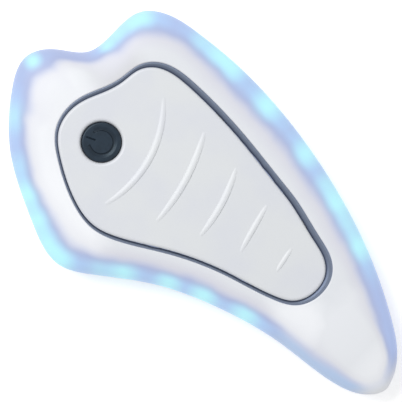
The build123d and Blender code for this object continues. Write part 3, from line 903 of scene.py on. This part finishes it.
class MASSAGER_OT_light_ring(bpy.types.Operator):
    """Gives the light strip, its chips and the light guide their finishes"""
    bl_idname = "massager.light_ring"
    bl_label = "Light ring"

    def execute(self, context):
        cyan = context.scene.massager_shell.cyan
        blue = context.scene.massager_shell.blue
        dress(
            ["led_strip"],
            moulded("strip_film", shade(240, 236, 220), roughness=0.4, grain_size=0.5),
        )
        dress(
            ["led_chips"],
            lit_plastic("led_lens", colour=cyan, light=shade(255, 250, 214), strength=0.8),
        )
        dress(
            ["light_guide"],
            lit_plastic("clear_guide", colour=blue, light=cyan, strength=0.3),
        )
        return {"FINISHED"}


class MASSAGER_OT_frame_and_metal(bpy.types.Operator):
    """Gives the inner frame, screws, contacts, springs and magnets their finishes"""
    bl_idname = "massager.frame_and_metal"
    bl_label = "Frame and metal parts"

    def execute(self, context):
        dress(["inner_frame"], moulded("white_frame", shade(236, 237, 238)))
        dress(
            ["board_screws", "frame_screws"],
            worked_metal("screw_steel", shade(196, 198, 202), roughness=0.3, stretch=(3, 3, 0.3)),
        )
        dress(
            ["charge_contacts"],
            worked_metal("contact_gold", shade(230, 196, 120), roughness=0.18),
        )
        dress(
            ["contact_springs"],
            worked_metal("spring_brass", shade(222, 192, 122), roughness=0.3, stretch=(6, 1, 1)),
        )
        dress(
            ["charge_magnets"],
            worked_metal("magnet_nickel", shade(214, 215, 218), roughness=0.15),
        )
        return {"FINISHED"}


# Stage

# The floor, in metres: half its side, and how far it lies under the rest face
FLOOR_HALF = 2.0
FLOOR_DROP = 0.05 * MM

# Light that the floor adds for the rays that show it
FLOOR_LIFT = 0.42

# The two lamps, in metres: places and side; the fill lamp's share of the key lamp's power
KEY_PLACE = (-1.2, -0.08, 1.58)
FILL_PLACE = (1.2, 0.8, 1.6)
LAMP_SIDE = 1.3
FILL_SHARE = 0.25

# The camera: sensor width in millimetres, nearest distance in metres, the height at which
# the picture width counts, and the point in plan that lies in the middle of the picture
SENSOR_WIDTH = 36
NEAREST = 0.05
RIM_HEIGHT = 7 * MM
PICTURE_MIDDLE = (-4.4 * MM, 2.35 * MM)

WHITE = (1, 1, 1, 1)


class MASSAGER_OT_stage(bpy.types.Operator):
    """Makes the floor, the soft studio light and the camera"""
    bl_idname = "massager.stage"
    bl_label = "Stage"

    def execute(self, context):
        scene = context.scene
        look = scene.massager_stage
        self.floor(scene, look)
        self.sky(scene, look)
        self.lamp(scene, "key_light", KEY_PLACE, look.key)
        self.lamp(scene, "fill_light", FILL_PLACE, look.key * FILL_SHARE)
        self.camera(scene, look)
        scene.view_settings.view_transform = "Standard"
        return {"FINISHED"}

    def floor(self, scene, look):
        """Plain pale floor, brighter for the rays that show it than for the light it gives."""
        mesh = bpy.data.meshes.new("floor")
        half = FLOOR_HALF
        mesh.from_pydata(
            [(-half, -half, 0), (half, -half, 0), (half, half, 0), (-half, half, 0)],
            [], [(0, 1, 2, 3)],
        )
        floor = bpy.data.objects.new("floor", mesh)
        floor.location = (0, 0, -FLOOR_DROP)
        scene.collection.objects.link(floor)
        finish = Finish("floor_white")
        plain = finish.node("ShaderNodeBsdfDiffuse", sockets={"Color": (*look.floor, 1.0)})
        lift = finish.node(
            "ShaderNodeEmission", sockets={"Color": WHITE, "Strength": FLOOR_LIFT}
        )
        bright = finish.node("ShaderNodeAddShader", sockets={0: plain, 1: lift})
        both = finish.node("ShaderNodeMixShader", sockets={0: finish.seen(), 1: plain, 2: bright})
        finish.node("ShaderNodeOutputMaterial", sockets={"Surface": both})
        mesh.materials.append(finish.owner)

    def sky(self, scene, look):
        """Even light from all round, and plain white for the rays that show it."""
        scene.world = bpy.data.worlds.new("sky")
        finish = Finish(scene.world)
        strength = finish.seen() * (1 - look.world) + look.world
        even = finish.node(
            "ShaderNodeBackground", sockets={"Color": WHITE, "Strength": strength}
        )
        finish.node("ShaderNodeOutputWorld", sockets={"Surface": even})

    def lamp(self, scene, name, place, power):
        """A large square lamp that is turned to the part."""
        light = bpy.data.lights.new(name, "AREA")
        light.size = LAMP_SIDE
        light.energy = power
        holder = bpy.data.objects.new(name, light)
        holder.location = place
        holder.rotation_euler = (-Vector(place)).to_track_quat("-Z", "Y").to_euler()
        scene.collection.objects.link(holder)

    def camera(self, scene, look):
        """The camera straight over the part, turned so that the part lies as in the photo."""
        camera = bpy.data.cameras.new("camera")
        camera.sensor_width = SENSOR_WIDTH
        camera.lens = SENSOR_WIDTH * (look.distance - RIM_HEIGHT) / look.width
        camera.clip_start = NEAREST
        holder = bpy.data.objects.new("camera", camera)
        holder.location = (*PICTURE_MIDDLE, look.distance)
        holder.rotation_euler = (0, 0, look.roll)
        scene.collection.objects.link(holder)
        scene.camera = holder


# Panel and registration

class MASSAGER_PT_sidebar(bpy.types.Panel):
    """Lists the pieces and their settings"""
    bl_idname = "MASSAGER_PT_sidebar"
    bl_label = "Massager"
    bl_space_type = "VIEW_3D"
    bl_region_type = "UI"
    bl_category = "Massager"

    def draw(self, context):
        for operator in OPERATORS:
            self.layout.operator(operator.bl_idname)
        for name, group in SETTINGS.items():
            box = self.layout.box()
            for field in group.__annotations__:
                box.prop(getattr(context.scene, name), field)


OPERATORS = [
    MASSAGER_OT_casing,
    MASSAGER_OT_trim,
    MASSAGER_OT_panel,
    MASSAGER_OT_button,
    MASSAGER_OT_electronics,
    MASSAGER_OT_power,
    MASSAGER_OT_light_ring,
    MASSAGER_OT_frame_and_metal,
    MASSAGER_OT_stage,
]
SETTINGS = {
    "massager_shell": ShellSettings,
    "massager_trim": TrimSettings,
    "massager_panel": PanelSettings,
    "massager_button": ButtonSettings,
    "massager_stage": StageSettings,
}


def register():
    for name, group in SETTINGS.items():
        bpy.utils.register_class(group)
        setattr(bpy.types.Scene, name, PointerProperty(type=group))
    for operator in OPERATORS:
        bpy.utils.register_class(operator)
    bpy.utils.register_class(MASSAGER_PT_sidebar)


def unregister():
    bpy.utils.unregister_class(MASSAGER_PT_sidebar)
    for operator in reversed(OPERATORS):
        bpy.utils.unregister_class(operator)
    for name, group in SETTINGS.items():
        delattr(bpy.types.Scene, name)
        bpy.utils.unregister_class(group)


def main():
    register()
    for operator in OPERATORS:
        group, name = operator.bl_idname.split(".")
        getattr(getattr(bpy.ops, group), name)()


if __name__ == "__main__":
    main()
